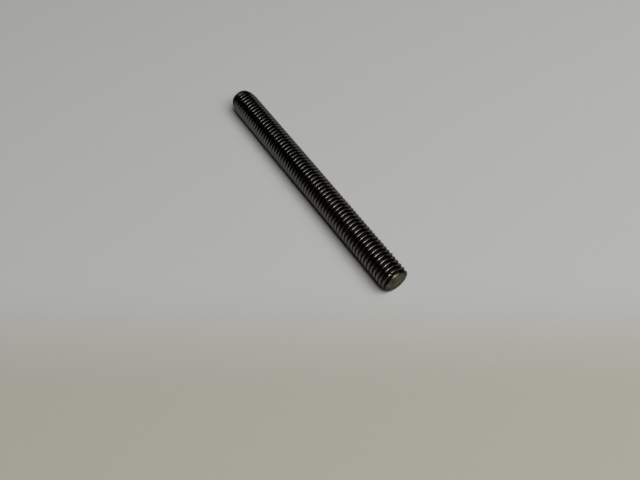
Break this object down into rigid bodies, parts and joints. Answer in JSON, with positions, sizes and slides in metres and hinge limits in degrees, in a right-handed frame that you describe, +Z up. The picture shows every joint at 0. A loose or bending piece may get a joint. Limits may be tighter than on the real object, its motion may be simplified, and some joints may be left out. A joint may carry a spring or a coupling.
{
  "type": "threaded stud",
  "caption": "Fully threaded dark steel stud, lying on its side: a round bar with one continuous right-hand thread, chamfered at one end and blunt-pointed at the other.",
  "frame": {"origin": "middle of the stud's length, under its axis, on the surface that its lowest crests lie on", "axes": "+X along the stud from the blunt point to the chamfered end, +Z up"},
  "size_m": [0.0808, 0.0078, 0.0079],
  "materials": {
    "dark_steel": "dark plain steel with a thin oil film, bright on the crests and nearly black in the grooves"
  },
  "bodies": {
    "root": {"threaded_stud": "dark_steel"}
  },
  "joints": []
}
